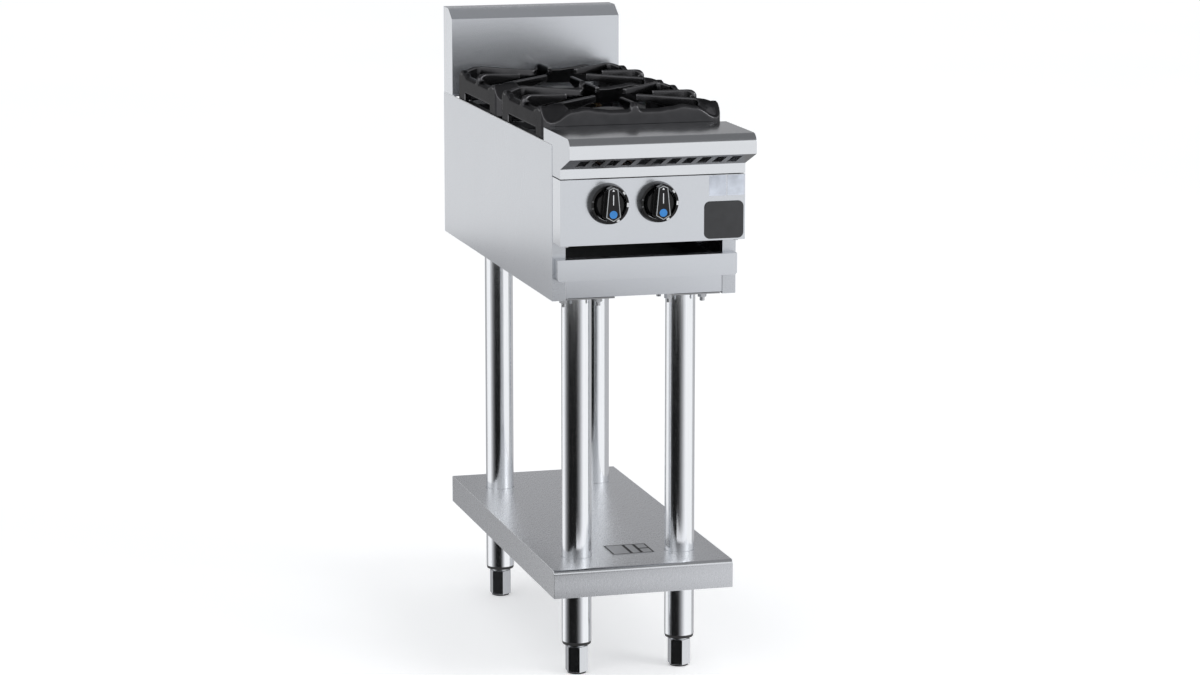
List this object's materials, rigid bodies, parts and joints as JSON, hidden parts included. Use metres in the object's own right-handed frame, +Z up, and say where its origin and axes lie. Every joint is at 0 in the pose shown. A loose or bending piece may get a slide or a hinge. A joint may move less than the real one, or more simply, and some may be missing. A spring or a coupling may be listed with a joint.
{
  "type": "gas boiling top on leg stand",
  "caption": "Narrow stainless gas boiling top with cast trivets, splashback and pull-out drip tray, on a tubular leg stand with an undershelf.",
  "frame": {"origin": "on the floor, under the middle of the body's width and depth", "axes": "+X to the operator's right, +Y towards the wall behind, +Z up"},
  "size_m": [0.3, 0.855, 1.0237],
  "materials": {
    "stainless": "satin stainless sheet with fine even grain",
    "stainless_panel": "satin stainless sheet, level grain",
    "tube_steel": "polished stainless tube",
    "plain_steel": "mill finish sheet",
    "screws": "bright zinc",
    "cast_black": "vitreous enamelled cast iron, satin black",
    "burner_iron": "bare cast iron, rough",
    "cap_iron": "machined cast iron, dark",
    "brass": "machined brass",
    "gas_pipe": "plated steel pipe",
    "copper_tube": "drawn copper tube",
    "knob_black": "glossy black",
    "bezel_black": "glossy black",
    "foot_black": "moulded black nylon"
  },
  "bodies": {
    "body": {"side_panel_left": "stainless", "side_panel_right": "stainless", "back_panel": "plain_steel", "splashback": "stainless", "splashback_back": "plain_steel", "hob_front": "stainless", "control_panel": "stainless_panel", "lower_front_rail": "stainless", "base_channel_left": "plain_steel", "base_channel_right": "plain_steel", "trivet_ledge_left": "plain_steel", "trivet_ledge_right": "plain_steel", "centre_bar": "plain_steel", "burner_rail_front": "plain_steel", "burner_rail_rear": "plain_steel", "tray_runner_left": "plain_steel", "tray_runner_right": "plain_steel", "gas_pipe": "gas_pipe", "gas_manifold": "gas_pipe", "gas_tap_left": "brass", "gas_tap_right": "brass", "knob_bezel_left": "bezel_black", "knob_bezel_right": "bezel_black", "gas_tube_front": "copper_tube", "gas_tube_rear": "copper_tube", "injector_front": "brass", "injector_rear": "brass", "burner_front": "burner_iron", "burner_rear": "burner_iron", "pilot_burners": "brass", "thermocouples": "copper_tube", "pilot_tubes": "copper_tube", "leg_plates": "plain_steel", "leg_tube_front_left": "tube_steel", "leg_tube_front_right": "tube_steel", "leg_tube_rear_left": "tube_steel", "leg_tube_rear_right": "tube_steel", "undershelf": "stainless", "shelf_collars": "tube_steel", "foot_inserts": "foot_black", "leg_bolts": "screws", "panel_screws": "screws"},
    "tap_sleeve_left": {"tap_collar_left": "screws"},
    "tap_sleeve_right": {"tap_collar_right": "screws"},
    "knob_left": {"knob_left": "knob_black", "tap_spindle_left": "screws"},
    "knob_right": {"knob_right": "knob_black", "tap_spindle_right": "screws"},
    "tray": {"drip_tray": "plain_steel", "tray_front": "stainless"},
    "trivet_front": {"trivet_front": "cast_black"},
    "trivet_rear": {"trivet_rear": "cast_black"},
    "burner_cap_front": {"burner_cap_front": "cap_iron"},
    "burner_cap_rear": {"burner_cap_rear": "cap_iron"},
    "foot_front_left": {"foot_front_left": "tube_steel"},
    "foot_front_right": {"foot_front_right": "tube_steel"},
    "foot_rear_left": {"foot_rear_left": "tube_steel"},
    "foot_rear_right": {"foot_rear_right": "tube_steel"}
  },
  "joints": [
    {"name": "knob_push_left", "type": "slide", "parent": "body", "child": "tap_sleeve_left", "axis": [0, 1, 0], "range_m": [0, 0.004], "stiffness_N_per_m": 800, "springref_m": -0.004},
    {"name": "knob_turn_left", "type": "hinge", "parent": "tap_sleeve_left", "child": "knob_left", "pos_m": [-0.0738, -0.3895, 0.787], "axis": [0, 1, 0], "range_deg": [-210, 0]},
    {"name": "knob_push_right", "type": "slide", "parent": "body", "child": "tap_sleeve_right", "axis": [0, 1, 0], "range_m": [0, 0.004], "stiffness_N_per_m": 800, "springref_m": -0.004},
    {"name": "knob_turn_right", "type": "hinge", "parent": "tap_sleeve_right", "child": "knob_right", "pos_m": [0.0062, -0.3895, 0.787], "axis": [0, 1, 0], "range_deg": [-210, 0]},
    {"name": "tray_slide", "type": "slide", "parent": "body", "child": "tray", "axis": [0, -1, 0], "range_m": [0, 0.45]},
    {"name": "trivet_lift_front", "type": "slide", "parent": "body", "child": "trivet_front", "axis": [0, 0, 1], "range_m": [0, 0.15]},
    {"name": "trivet_lift_rear", "type": "slide", "parent": "body", "child": "trivet_rear", "axis": [0, 0, 1], "range_m": [0, 0.15]},
    {"name": "cap_lift_front", "type": "slide", "parent": "body", "child": "burner_cap_front", "axis": [0, 0, 1], "range_m": [0, 0.1]},
    {"name": "cap_lift_rear", "type": "slide", "parent": "body", "child": "burner_cap_rear", "axis": [0, 0, 1], "range_m": [0, 0.1]},
    {"name": "foot_screw_front_left", "type": "slide", "parent": "body", "child": "foot_front_left", "axis": [0, 0, -1], "range_m": [0, 0.03]},
    {"name": "foot_screw_front_right", "type": "slide", "parent": "body", "child": "foot_front_right", "axis": [0, 0, -1], "range_m": [0, 0.03]},
    {"name": "foot_screw_rear_left", "type": "slide", "parent": "body", "child": "foot_rear_left", "axis": [0, 0, -1], "range_m": [0, 0.03]},
    {"name": "foot_screw_rear_right", "type": "slide", "parent": "body", "child": "foot_rear_right", "axis": [0, 0, -1], "range_m": [0, 0.03]}
  ]
}
